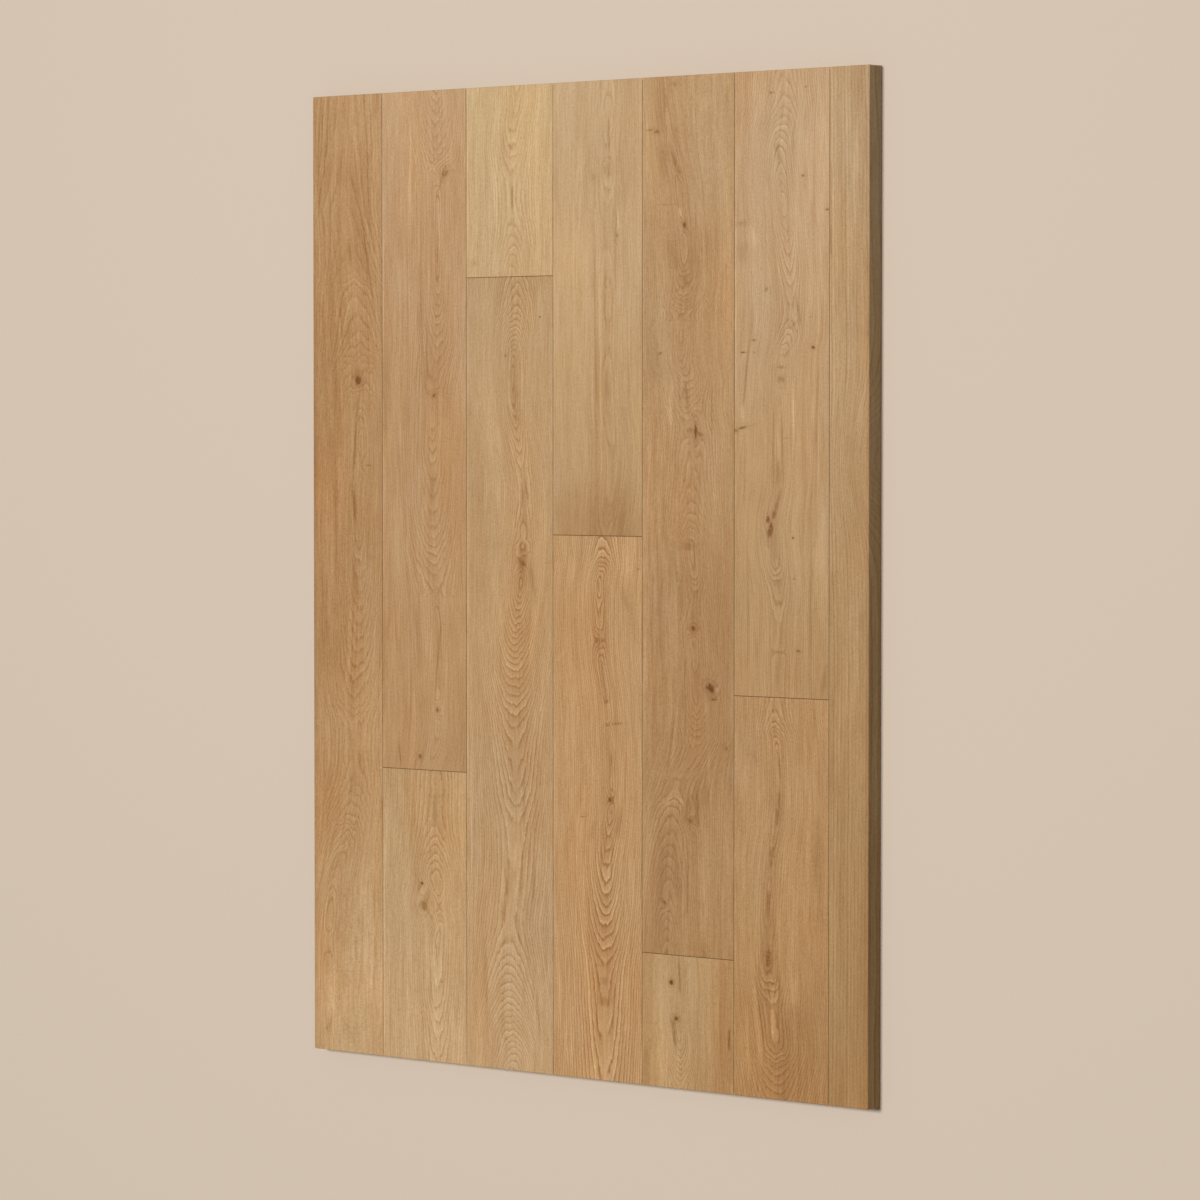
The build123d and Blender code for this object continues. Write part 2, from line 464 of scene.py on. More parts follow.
def oilBoard(board):
    material = bpy.data.materials.new("oak_" + board["node"])
    material.use_nodes = True
    tree = material.node_tree
    shader = tree.nodes["Principled BSDF"]
    where = tree.nodes.new("ShaderNodeTexCoord")
    mapping = tree.nodes.new("ShaderNodeMapping")
    mapping.inputs["Scale"].default_value = (1000.0, 1000.0, 1000.0)
    mapping.inputs["Location"].default_value = (panel["width"] / 2, panel["length"] / 2, 0.0)
    feed(tree, mapping.inputs["Vector"], where.outputs["Object"])
    spot = mapping.outputs[0]
    x, y, z = split(tree, spot)
    seed = board["seed"]

    wobble = noise(tree, spot, (0.35, 0.16, 0.35), (seed, seed, seed), 2.0)
    wobble = calc(tree, "MULTIPLY", calc(tree, "SUBTRACT", wobble, 0.5), knotLook["wobble"])
    push = bend = core = halo = shade = stain = 0.0
    for centreX, centreY, halfWidth, halfLength, swell, darkness, turn in board["knots"]:
        knot = place(tree, knotGroup, {
            "Position": spot,
            "Wobble": wobble,
            "Centre X": centreX,
            "Centre Y": centreY,
            "Half Width": halfWidth,
            "Half Length": halfLength,
            "Swell": swell,
            "Dark": darkness,
            "Turn": turn,
        })
        push = calc(tree, "ADD", push, knot["Push"])
        bend = calc(tree, "ADD", bend, knot["Bend"])
        core = calc(tree, "MAXIMUM", core, knot["Core"])
        halo = calc(tree, "MAXIMUM", halo, knot["Halo"])
        shade = calc(tree, "MULTIPLY_ADD", knot["Ripples"], knotLook["ripples"], shade)
    for lowX, lowY, highX, highY, halfWidth, strength in board["streaks"]:
        streak = place(tree, streakGroup, {
            "Position": spot,
            "Wobble": wobble,
            "Low X": lowX,
            "Low Y": lowY,
            "High X": highX,
            "High Y": highY,
            "Half Width": halfWidth,
            "Strength": strength,
        })
        if halfWidth < oakLook["broadStreak"]:
            shade = calc(tree, "ADD", shade, streak["Shade"])
        else:
            stain = calc(tree, "ADD", stain, streak["Shade"])
    parted = calc(tree, "SUBTRACT", x, bend)  # fibres part round the knots and lean with the heart
    heart = alongBoard(tree, y, board["heart"], panel["width"])
    usual = sum(across for far, across in board["heart"]) / len(board["heart"])
    near = calc(tree, "DIVIDE", calc(tree, "SUBTRACT", x, heart), ringLook["leanReach"])
    near = calc(tree, "EXPONENT", calc(tree, "MULTIPLY", calc(tree, "MULTIPLY", near, near), -1.0))
    lean = calc(tree, "MULTIPLY", calc(tree, "SUBTRACT", heart, usual), near)
    leaning = join(tree, calc(tree, "SUBTRACT", parted, lean), y, z)

    jag = noise(tree, spot, ringLook["zigzag"], (seed, seed, seed), 2.0)
    jagged = calc(tree, "MULTIPLY_ADD", calc(tree, "SUBTRACT", jag, 0.5), board["zigzag"], y)
    depth = alongBoard(tree, jagged, board["depth"], ringLook["deepest"])
    ahead = calc(tree, "ADD", jagged, ringLook["probe"])
    ahead = alongBoard(tree, ahead, board["depth"], ringLook["deepest"])
    rings = place(tree, ringFigure, {
        "Position": join(tree, parted, y, z),
        "Heart": heart,
        "Depth": depth,
        "Slope": calc(tree, "DIVIDE", calc(tree, "SUBTRACT", ahead, depth), ringLook["probe"]),
        "Spread": board["spread"],
        "Push": push,
        "Ring Width": board["ringWidth"],
        "Even": board["even"],
        "Seed": seed,
    })
    geometry = tree.nodes.new("ShaderNodeNewGeometry")
    sides = place(tree, boardSides, {"Position": spot, "Normal": geometry.outputs["True Normal"]})
    foot = board["heart"][0][0]
    head = board["heart"][-1][0]
    tone = mixColour(tree, fade(tree, y, foot, head), srgb(*board["footTone"]), srgb(*board["headTone"]))
    oak = place(tree, oakSurface, {
        "Position": spot,
        "Fibre Place": leaning,
        "Tone": tone,
        "Early": rings["Early"],
        "Late": rings["Late"],
        "Ring Tone": rings["Ring Tone"],
        "Figure": board["figure"],
        "Grain": board["grain"],
        "Shade": shade,
        "Stain": stain,
        "Core": core,
        "Halo": halo,
        "End": sides["End"],
        "Side": sides["Side"],
        "Back": sides["Back"],
        "Seam": sides["Seam"],
        "Edge Highlight": sides["Edge Highlight"],
        "Seed": seed,
    })
    bump = tree.nodes.new("ShaderNodeBump")
    bump.inputs["Strength"].default_value = oakLook["relief"]
    bump.inputs["Distance"].default_value = oakLook["reliefDepth"]
    feed(tree, bump.inputs["Height"], oak["Height"])
    feed(tree, shader.inputs["Normal"], bump.outputs[0])
    feed(tree, shader.inputs["Base Color"], oak["Color"])
    feed(tree, shader.inputs["Roughness"], oak["Roughness"])
    shader.inputs["Specular IOR Level"].default_value = oakLook["gloss"]
    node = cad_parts[board["node"]]
    node.data.materials.clear()
    node.data.materials.append(material)


# One dictionary per board. heart is the figure's middle line, depth how far the heart lies off the face.
# knots: x, y, half width, half length, swell, darkness, turn in degrees.
# streaks: low x, low y, high x, high y, half width, shade.
rowOne = {
    "node": "row_1_board",
    "footTone": (184, 145, 99),
    "headTone": (173, 133, 89),
    "seed": 1.7,
    "ringWidth": 2.0,
    "spread": 1.4,
    "figure": 0.8,
    "even": 0.3,
    "grain": 1.0,
    "zigzag": 16.0,
    "heart": [
        (0, 20), (60, 20), (165, 27), (200, 38), (228, 48), (262, 56), (305, 60), (380, 60), (425, 64),
        (497, 67), (560, 66), (630, 70), (700, 68), (760, 66), (815, 60), (870, 53), (905, 47), (985, 50),
        (1020, 50),
    ],
    "depth": [
        (0, 8), (85, 5), (120, 8), (140, 6), (160, 7), (178, 10), (228, 17), (262, 26), (305, 32),
        (340, 33), (380, 27), (425, 21), (515, 10), (550, 5.5), (600, 3.5), (630, 3), (690, 9), (706, 20),
        (722, 23), (760, 33.6), (815, 40), (832, 44.4), (905, 49), (1020, 52),
    ],
    "knots": [
        (66, 717, 4.8, 5.6, 5, 0.62, 0), (81, 627, 6, 0.9, 0, 0.35, 0), (72, 628, 3, 5, 4, 0.12, 0),
    ],
    "streaks": [
        (22, 540, 20, 880, 24, -0.16), (57, 595, 66, 712, 1.6, -0.42), (64, 555, 57, 612, 2.6, -0.40),
        (68, 905, 94, 770, 1.3, -0.34), (58, 985, 69, 890, 1.2, -0.20), (94, 740, 94, 1060, 6, 0.10),
        (8, 900, 10, 1015, 1.2, -0.24), (76, 340, 78, 260, 10, -0.14), (26, 470, 28, 660, 2, 0.14),
        (40, 540, 42, 670, 5, 0.12), (70, 20, 78, 240, 8, 0.12), (22, 30, 24, 90, 6, 0.14),
        (12, 380, 14, 560, 6, -0.14), (33, 480, 33, 640, 1.2, -0.22), (54, 835, 54, 872, 4, -0.18),
        (45, 300, 45, 660, 45, -0.16), (45, 890, 45, 1050, 16, -0.13), (70, 910, 70, 1140, 50, 0.20),
        (28, 180, 28, 360, 35, -0.15), (96, 530, 96, 730, 10, -0.09), (1, -150, 1, 1170, 4, -0.22),
        (32, -40, 32, 125, 14, 0.12), (97, -60, 97, 170, 5, 0.14), (60, -160, 60, 170, 60, 0.13),
        (52, 20, 62, 200, 2, 0.16), (80, 10, 92, 190, 2.5, 0.18), (96, 10, 100, 150, 2, 0.14),
        (66, 200, 70, 290, 12, -0.10),
    ],
}
rowTwoHead = {
    "node": "row_2_head_board",
    "footTone": (176, 137, 93),
    "headTone": (185, 148, 107),
    "seed": 2.3,
    "ringWidth": 2.0,
    "spread": 1.3,
    "figure": 0.9,
    "even": 0.4,
    "grain": 0.9,
    "zigzag": 12.0,
    "heart": [
        (307, 168), (340, 178), (371, 180), (480, 178), (540, 173), (690, 174), (720, 176), (757, 181),
        (900, 181), (945, 181), (985, 179), (1020, 178),
    ],
    "depth": [
        (307, 8), (371, 3), (400, 5), (480, 7), (494, 31), (505, 30), (572, 18), (640, 9), (690, 3),
        (703, 20), (720, 19), (795, 7), (815, 4), (860, 2), (925, 4), (938, 23), (945, 22), (1020, 8),
    ],
    "knots": [
        (191, 933, 5.5, 4, 6, 0.36, 30), (175, 701, 2.4, 2.2, 4, 0.5, 0),
        (180, 371, 2.6, 2.6, 7, 0.45, 0), (155, 321, 2.4, 2.8, 6, 0.48, 0),
    ],
    "streaks": [
        (128, 304, 124, 342, 0.9, -0.5), (176, 385, 187, 480, 1.6, -0.34),
        (180, 805, 180, 895, 1.3, -0.30), (184, 800, 184, 930, 1.4, 0.14), (172, 585, 175, 625, 5, -0.2),
        (130, 790, 132, 850, 12, 0.10), (106, 640, 108, 770, 5, -0.14), (160, 600, 160, 920, 42, -0.10),
        (192, 935, 194, 937, 1.2, 0.7), (141, 860, 143, 1015, 1.6, 0.16),
        (165, 700, 166, 790, 1.3, -0.24), (103, 680, 103, 1015, 1.5, 0.16),
        (178, 905, 190, 935, 1.6, -0.22), (125, 860, 125, 1090, 25, 0.11), (166, 320, 166, 545, 10, 0.06),
    ],
}
rowTwoFoot = {
    "node": "row_2_foot_board",
    "footTone": (193, 158, 114),
    "headTone": (181, 145, 100),
    "seed": 3.9,
    "ringWidth": 2.0,
    "spread": 1.5,
    "figure": 1.15,
    "even": 0.5,
    "grain": 0.9,
    "zigzag": 14.0,
    "heart": [(0, 180), (140, 180), (166, 171), (190, 176), (237, 175), (307, 177)],
    "depth": [
        (0, 15), (45, 11), (75, 7), (130, 4), (166, 2), (180, 4), (237, 17), (260, 19.5), (307, 20),
    ],
    "knots": [
        (159, 165, 6, 6, 9, 0.3, 0), (157.5, 187, 1.7, 1.6, 2, 1.0, 0), (186, 85, 1.5, 1.2, 0, 0.4, 0),
        (171, 163, 6, 6, 9, 0.0, 0),
    ],
    "streaks": [
        (176, 240, 176, 290, 3, -0.26), (172, 277, 190, 284, 10, -0.10), (106, 190, 108, 290, 5, 0.18),
        (150, 160, 152, 185, 7, 0.14), (103, 0, 103, 300, 1.5, 0.14), (150, 125, 150, 285, 22, -0.12),
        (208, 170, 208, 320, 12, 0.07), (196, 100, 196, 230, 15, 0.08),
    ],
}
rowThreeHead = {
    "node": "row_3_head_board",
    "footTone": (193, 159, 113),
    "headTone": (197, 167, 122),
    "seed": 4.1,
    "ringWidth": 2.0,
    "spread": 1.4,
    "figure": 0.85,
    "even": 0.4,
    "grain": 0.8,
    "zigzag": 12.0,
    "heart": [(823, 284), (867, 287), (900, 285), (943, 284), (978, 286), (1000, 291), (1020, 292)],
    "depth": [(823, 5), (836, 7), (867, 13), (905, 16), (943, 13), (955, 11), (1020, 4)],
    "knots": [(233, 838, 4, 2, 2, 0.2, -30)],
    "streaks": [
        (285, 886, 285, 922, 1.4, -0.5), (284, 952, 284, 962, 4, -0.22), (272, 925, 274, 985, 3, -0.12),
        (230, 900, 232, 1010, 2.5, -0.12), (328, 800, 328, 1060, 8, -0.09),
        (223, 825, 223, 1018, 1.6, 0.18), (292, 900, 292, 1100, 12, -0.11),
        (250, 800, 250, 930, 12, 0.08),
    ],
}
rowThreeFoot = {
    "node": "row_3_foot_board",
    "footTone": (185, 149, 106),
    "headTone": (181, 146, 103),
    "seed": 5.6,
    "ringWidth": 1.8,
    "spread": 1.15,
    "figure": 1.3,
    "even": 0.7,
    "grain": 0.85,
    "zigzag": 8.0,
    "heart": [
        (0, 284), (20, 286), (44, 281), (142, 281), (200, 288), (250, 290), (418, 289), (470, 292),
        (530, 299), (600, 302), (640, 296), (675, 289), (720, 287), (766, 289), (800, 292), (823, 292),
    ],
    "depth": [
        (0, 16), (142, 48), (160, 49), (250, 48), (290, 44), (362, 38), (385, 34), (440, 21), (480, 11),
        (515, 4), (535, 2), (555, 9), (600, 13), (620, 13), (640, 11.5), (682, 5), (700, 2.5), (720, 1.5),
        (735, 3), (750, 7), (792, 20), (823, 25),
    ],
    "knots": [
        (299, 527, 5, 4, 6, 0.42, 0), (300, 539, 4.5, 5, 5, 0.28, 0), (323, 781, 1.3, 1.2, 0, 0.5, 0),
        (276, 742, 2, 3, 1, 0.3, 0),
    ],
    "streaks": [
        (287, 680, 286, 760, 6, -0.13), (289, 662, 289, 716, 6, -0.14), (298, 680, 299, 745, 1.2, 0.3),
        (281, 690, 279, 730, 1.2, 0.26), (279, 720, 284, 752, 1.2, 0.22), (278, 702, 288, 672, 1.4, 0.26),
        (297, 420, 299, 560, 12, -0.08), (299, 496, 300, 540, 5, -0.18), (317, 488, 308, 534, 3, -0.22),
        (282, 385, 262, 515, 3, 0.16), (302, 390, 328, 520, 3.5, 0.16), (300, 545, 304, 640, 3, -0.18),
        (228, 20, 228, 500, 2.0, 0.16), (250, 40, 244, 160, 3, -0.16), (316, 90, 326, 20, 2, -0.26),
        (300, 240, 302, 330, 2, -0.24), (314, 160, 316, 235, 1.6, -0.24), (290, 200, 296, 150, 4, 0.20),
        (279, 165, 272, 225, 1.6, -0.26), (288, 205, 288, 240, 5, 0.18), (223, 0, 223, 815, 1.5, 0.14),
        (332, 80, 333, 220, 2, -0.18), (298, 240, 302, 530, 34, -0.12), (328, 470, 330, 750, 12, 0.08),
        (286, 620, 288, 780, 13, -0.12), (322, -80, 322, 160, 13, 0.10), (258, 120, 258, 300, 10, -0.08),
        (256, 670, 256, 840, 10, 0.10), (320, 715, 320, 830, 14, 0.08), (285, -100, 285, 180, 60, 0.07),
        (322, 120, 322, 260, 12, 0.11),
    ],
}
rowFourHead = {
    "node": "row_4_head_board",
    "footTone": (178, 142, 98),
    "headTone": (190, 157, 115),
    "seed": 6.2,
    "ringWidth": 2.2,
    "spread": 1.4,
    "figure": 0.5,
    "even": 0.2,
    "grain": 0.75,
    "zigzag": 16.0,
    "heart": [(557, 414), (640, 422), (700, 415), (800, 416), (930, 415), (1020, 416)],
    "depth": [
        (557, 14), (600, 9), (640, 8), (700, 5), (760, 8), (800, 7), (880, 11), (915, 7), (930, 5),
        (945, 8), (980, 6), (1020, 9),
    ],
    "knots": [(396, 922, 3, 4, 2, 0.2, 0), (428, 862, 2.2, 2.2, 3, 0.24, 0)],
    "streaks": [
        (401, 565, 396, 935, 1.8, -0.22), (408, 560, 402, 940, 1.5, 0.26),
        (424, 480, 422, 655, 2.5, -0.16), (398, 480, 400, 630, 5, -0.08), (446, 480, 446, 680, 14, -0.09),
        (415, 480, 415, 622, 90, -0.18), (430, 480, 430, 680, 4, -0.12), (414, 690, 414, 735, 3, -0.2),
        (416, 945, 416, 990, 1.5, -0.3), (430, 860, 426, 900, 1.4, 0.24), (362, 880, 362, 1100, 12, 0.16),
        (345, 780, 345, 980, 3, -0.10), (425, 760, 428, 930, 10, -0.10), (416, 915, 416, 945, 7, -0.14),
        (372, 560, 372, 1000, 24, 0.11), (432, 830, 432, 1100, 14, -0.11), (455, 680, 455, 870, 5, 0.08),
        (438, 630, 438, 770, 8, -0.10),
    ],
}
rowFourFoot = {
    "node": "row_4_foot_board",
    "footTone": (183, 142, 95),
    "headTone": (183, 144, 98),
    "seed": 7.4,
    "ringWidth": 2.0,
    "spread": 1.2,
    "figure": 2.0,
    "even": 0.6,
    "grain": 1.0,
    "zigzag": 8.0,
    "heart": [
        (0, 410), (139, 411), (217, 411), (256, 415), (290, 418), (366, 416), (388, 414), (440, 405),
        (505, 403), (525, 407), (557, 409),
    ],
    "depth": [
        (0, 33), (38, 31), (80, 29), (120, 27), (139, 24), (200, 14), (256, 6), (290, 2), (320, 3),
        (440, 4), (470, 5), (486, 4.5), (502, 2), (540, 12), (557, 15),
    ],
    "knots": [
        (418, 288, 2.6, 2.8, 4, 0.68, 0), (402, 450, 4, 3.6, 5, 0.3, 20), (428, 366, 8, 1.2, 2, 0.3, 6),
        (382, 269, 3, 0.7, 0, 0.4, 0), (455, 524, 2.5, 0.9, 0, 0.35, 0), (414, 388, 2, 2.6, 1, 0.36, 0),
    ],
    "streaks": [
        (403, 448, 415, 374, 2.2, -0.34), (422, 320, 420, 246, 7, -0.22), (410, 96, 410, 108, 6, -0.20),
        (410, 74, 410, 88, 7, -0.28), (417, 280, 415, 405, 4, -0.24), (432, 510, 442, 478, 4, -0.16),
        (404, 495, 401, 515, 1.5, -0.26), (440, 510, 436, 556, 9, 0.14), (446, 160, 448, 250, 6, 0.14),
        (383, 140, 380, 260, 3, 0.14), (427, 240, 433, 285, 3, -0.20), (390, 240, 398, 270, 5, -0.16),
        (346, 425, 356, 440, 3, 0.14), (352, 20, 352, 200, 4, 0.10), (410, -30, 410, 30, 8, 0.12),
        (405, 250, 407, 200, 1.4, -0.3), (424, 250, 416, 200, 1.4, -0.3), (421, 245, 414, 195, 1.4, 0.24),
        (400, 30, 402, 110, 1.3, -0.24), (420, 30, 426, 130, 1.3, -0.24), (414, 60, 416, 340, 11, -0.14),
        (402, 360, 404, 560, 14, -0.09), (450, 435, 446, 525, 7, -0.14), (392, -60, 392, 160, 9, 0.10),
    ],
}
rowFiveHead = {
    "node": "row_5_head_board",
    "footTone": (166, 127, 83),
    "headTone": (178, 141, 98),
    "seed": 8.8,
    "ringWidth": 2.0,
    "spread": 1.3,
    "figure": 1.05,
    "even": 0.5,
    "grain": 0.9,
    "zigzag": 11.0,
    "heart": [
        (135, 494), (190, 495), (250, 498), (297, 504), (312, 508), (335, 522), (355, 531), (410, 532),
        (467, 528), (510, 530), (550, 526), (610, 527), (663, 528), (690, 521), (716, 520), (737, 511),
        (790, 512), (815, 517), (880, 514), (924, 507), (955, 498), (985, 493), (1020, 489),
    ],
    "depth": [
        (135, 3), (190, 12), (228, 18), (277, 25), (314, 31), (322, 20), (345, 19), (400, 5.5), (440, 4),
        (455, 3), (490, 10), (528, 3), (548, 2), (560, 7), (610, 17), (645, 19), (660, 20), (670, 21),
        (690, 18), (766, 5), (777, 21), (790, 17), (812, 8), (830, 5), (858, 2.5), (880, 1.5), (925, 2.5),
        (1020, 6),
    ],
    "knots": [
        (480, 965, 4, 2, 4, 0.42, 0), (471, 967, 6, 0.8, 0, 0.36, 4), (510, 924, 3, 1.8, 3, 0.26, -20),
        (516, 870, 2.2, 3.6, 4, 0.62, 0), (531, 664, 2, 8, 6, 0.66, 0), (523, 664, 4, 3.5, 3, 0.28, 0),
        (536, 661, 4.5, 2.5, 2, 0.38, -20), (528, 466, 2.6, 2.6, 9, 0.9, 0),
        (551, 406, 6, 4, 10, 1.0, -30), (555, 395, 4.5, 1.4, 1, 0.5, 0), (571, 347, 2.4, 2.4, 3, 0.42, 0),
        (491, 187, 2.5, 2.8, 3, 0.46, 0), (524, 272, 4, 2.4, 5, 0.42, -20),
        (485, 742, 2.5, 1.3, 1, 0.36, 20), (518, 815, 3.5, 3.6, 3, 0.27, 0), (524, 290, 4, 6, 3, 0.12, 0),
        (503, 1012, 4, 3, 2, 0.24, 0),
    ],
    "streaks": [
        (512, 876, 509, 890, 2.2, 0.36), (557, 401, 560, 408, 1.8, 0.5), (490, 890, 502, 893, 12, -0.14),
        (566, 260, 566, 590, 13, -0.12), (522, 542, 522, 554, 10, -0.24), (492, 905, 484, 960, 6, -0.2),
        (476, 700, 478, 790, 8, -0.12), (525, 260, 525, 600, 22, -0.11), (464, 300, 464, 640, 2.0, 0.22),
        (520, 155, 522, 260, 1.4, -0.30), (508, 690, 524, 720, 2, -0.2), (521, 684, 518, 714, 2.0, -0.3),
        (500, 720, 498, 660, 2, 0.2), (496, 860, 506, 820, 5, -0.16), (494, 960, 512, 915, 3, -0.18),
        (552, 630, 552, 730, 1.0, -0.22), (470, 880, 466, 990, 3, 0.18), (548, 300, 549, 350, 1.6, 0.26),
        (492, 310, 506, 390, 1.4, -0.26), (498, 310, 509, 395, 1.4, 0.2),
        (514, 370, 520, 460, 1.3, -0.24), (505, 400, 505, 520, 2, 0.14), (556, 840, 556, 1090, 20, 0.12),
        (484, 180, 497, 270, 4, -0.18), (511, 180, 501, 270, 4, -0.18), (494, 120, 493, 190, 12, -0.06),
        (468, 120, 472, 310, 8, 0.22), (486, 284, 502, 297, 2.2, 0.3), (504, 298, 516, 288, 2.2, 0.3),
        (522, 260, 524, 310, 10, -0.08), (536, 255, 532, 312, 1.6, -0.26), (540, 140, 544, 320, 6, 0.14),
        (562, 490, 560, 750, 16, 0.12), (518, 680, 514, 930, 20, -0.13), (485, 930, 485, 1060, 10, -0.11),
        (575, 90, 575, 320, 7, 0.24), (470, 400, 470, 740, 6, 0.16), (530, 220, 530, 460, 26, -0.08),
        (572, 800, 572, 960, 8, 0.10), (510, 860, 508, 1010, 10, -0.08),
    ],
}
rowFiveFoot = {
    "node": "row_5_foot_board",
    "footTone": (176, 138, 92),
    "headTone": (177, 140, 94),
    "seed": 9.1,
    "ringWidth": 2.0,
    "spread": 1.0,
    "figure": 1.15,
    "even": 0.4,
    "grain": 0.9,
    "zigzag": 12.0,
    "heart": [(0, 511), (45, 511), (69, 508), (107, 510), (135, 508)],
    "depth": [(0, 19), (6, 18), (52, 4), (75, 1.5), (115, 3), (135, 4)],
    "knots": [
        (500, 107, 2.7, 2.7, 3, 0.95, 20), (506, 71, 3.4, 2.4, 5, 0.75, 0), (502, 66, 3.5, 5, 2, 0.26, 0),
    ],
    "streaks": [
        (575, 40, 575, 71, 1.3, -0.7), (484, -60, 484, 195, 13, 0.24), (568, -60, 568, 195, 16, -0.22),
        (505, 38, 503, 66, 2.6, -0.40), (513, 88, 508, 140, 1.4, -0.5), (466, -20, 468, 60, 5, -0.24),
        (464, 90, 464, 160, 3, -0.08), (560, 88, 552, 92, 4, -0.14), (510, -80, 515, 160, 28, 0.08),
    ],
}
rowSixHead = {
    "node": "row_6_head_board",
    "footTone": (175, 138, 93),
    "headTone": (187, 153, 113),
    "seed": 10.5,
    "ringWidth": 2.0,
    "spread": 1.15,
    "figure": 1.0,
    "even": 0.5,
    "grain": 0.8,
    "zigzag": 11.0,
    "heart": [
        (400, 638), (500, 637), (545, 630), (570, 628), (610, 636), (716, 640), (743, 644), (757, 650),
        (800, 653), (845, 649), (885, 644), (945, 639), (993, 645), (1020, 645),
    ],
    "depth": [
        (400, 17), (470, 16.5), (490, 15), (545, 5), (570, 2), (630, 4), (716, 2), (757, 11), (780, 15),
        (824, 11), (845, 8), (870, 3), (885, 1.5), (922, 8), (945, 11), (993, 23), (1020, 26),
    ],
    "knots": [
        (627, 998, 1.3, 1.2, 0, 0.4, 0), (631, 998, 1.1, 1.1, 0, 0.4, 0),
        (671, 1002, 1.6, 1.2, 0, 0.35, 0), (668, 915, 2, 1.4, 1, 0.42, 0),
        (622, 804, 2.2, 2.2, 3, 0.34, 0), (606, 754, 2.4, 1.3, 1, 0.38, 0), (592, 742, 4, 0.8, 0, 0.5, 0),
        (606, 742, 1.2, 1.1, 0, 0.4, 0), (681, 746, 2.6, 1.5, 2, 0.65, -10),
        (590, 870, 7, 2.0, 5, 0.24, 8), (640, 715, 5, 3.6, 4, 0.3, 0), (640, 727, 6, 1.6, 1, 0.26, 0),
        (591, 667, 9, 1.4, 2, 0.42, 12), (583, 664, 3, 2, 0, 0.4, 0), (627, 566, 3.6, 8, 7, 0.56, -10),
        (624, 576, 3, 5, 0, 0.5, 0), (631, 580, 2, 6, 0, 0.42, -20), (656, 558.5, 1.2, 1.2, 0, 0.65, 0),
        (657, 518, 1.7, 0.8, 0, 0.4, 0), (637, 445, 3.5, 1.4, 2, 0.28, 0),
        (663, 447, 3.4, 1.3, 1, 0.45, -10), (636, 514, 4, 4, 2, 0.18, 0), (698, 881, 2.5, 1.3, 0, 0.4, 0),
        (678, 776, 2, 0.9, 0, 0.28, 0), (648, 657, 4, 0.6, 0, 0.24, 0),
    ],
    "streaks": [
        (590, 668, 602, 775, 1.2, -0.36), (594, 570, 594, 668, 1.4, -0.2),
        (631, 585, 631, 712, 1.1, -0.28), (644, 590, 640, 712, 1.1, -0.28),
        (636, 604, 637, 642, 1.5, -0.4), (678, 395, 679, 600, 1.5, -0.24),
        (683, 580, 688, 760, 1.2, -0.2), (600, 395, 598, 560, 1.8, -0.2), (636, 395, 638, 455, 3, -0.16),
        (692, 395, 698, 440, 3, -0.26), (691, 480, 691, 620, 6, 0.16), (657, 640, 654, 730, 1.3, 0.24),
        (666, 765, 658, 800, 1.4, -0.3), (652, 764, 662, 774, 2.5, -0.3), (606, 840, 605, 870, 2, 0.2),
        (655, 780, 665, 1010, 3, 0.10), (630, 574, 641, 610, 2.5, -0.30), (638, 926, 634, 952, 3, -0.26),
        (592, 672, 590, 692, 3, 0.24), (648, 765, 648, 800, 1.2, -0.22), (692, 740, 691, 800, 1.4, -0.18),
        (583, 590, 583, 1010, 1.5, 0.14), (644, 734, 651, 746, 1.6, -0.26),
        (590, 825, 592, 855, 8, -0.16), (692, 720, 692, 1030, 7, 0.14), (632, 480, 632, 640, 14, -0.07),
    ],
}
rowSixFoot = {
    "node": "row_6_foot_board",
    "footTone": (167, 125, 77),
    "headTone": (176, 136, 90),
    "seed": 11.2,
    "ringWidth": 2.0,
    "spread": 1.3,
    "figure": 1.4,
    "even": 0.5,
    "grain": 1.0,
    "zigzag": 7.0,
    "heart": [
        (0, 634), (40, 635), (96, 629), (140, 625), (230, 628), (300, 637), (350, 636), (381, 633),
        (400, 633),
    ],
    "depth": [
        (0, 30), (30, 23), (55, 15), (92, 14), (128, 3), (140, 1.5), (170, 3), (230, 4), (345, 2),
        (381, 12), (400, 14),
    ],
    "knots": [(625, 140, 4.6, 12, 6, 0.44, 0), (628, 234, 2, 4.5, 2, 0.30, -15)],
    "streaks": [
        (634, 262, 641, 318, 3.5, -0.20), (641, 310, 637, 352, 1.2, -0.34),
        (628, 228, 635, 275, 4, -0.20), (625, 165, 626, 222, 2.0, -0.36), (640, 240, 638, 330, 8, -0.10),
        (632, 50, 630, 106, 2.4, 0.36), (604, 125, 622, 20, 4, 0.26), (608, 130, 624, 20, 1.8, -0.38),
        (596, 10, 598, 100, 3, 0.2), (655, 88, 662, 132, 6, 0.18), (664, -30, 664, 130, 18, -0.12),
        (690, 290, 694, 390, 4, -0.14), (684, 200, 690, 300, 4, -0.12), (668, 280, 664, 350, 14, 0.08),
        (594, 300, 600, 345, 5, 0.16), (612, 330, 604, 350, 4, -0.16), (637, 55, 640, 140, 1.4, -0.34),
        (620, 90, 610, 140, 1.5, -0.26), (639, 130, 639, 220, 1.4, 0.2), (610, 140, 611, 230, 1.6, 0.16),
        (629, 92, 622, 124, 1.3, -0.36), (630, 92, 638, 124, 1.3, -0.36), (628, 108, 636, 128, 1.2, -0.3),
        (606, 60, 612, 360, 25, 0.16), (648, -30, 648, 110, 9, -0.13), (690, 0, 690, 120, 10, 0.08),
        (598, -20, 598, 80, 8, 0.08), (634, 50, 634, 130, 6, 0.22),
    ],
}
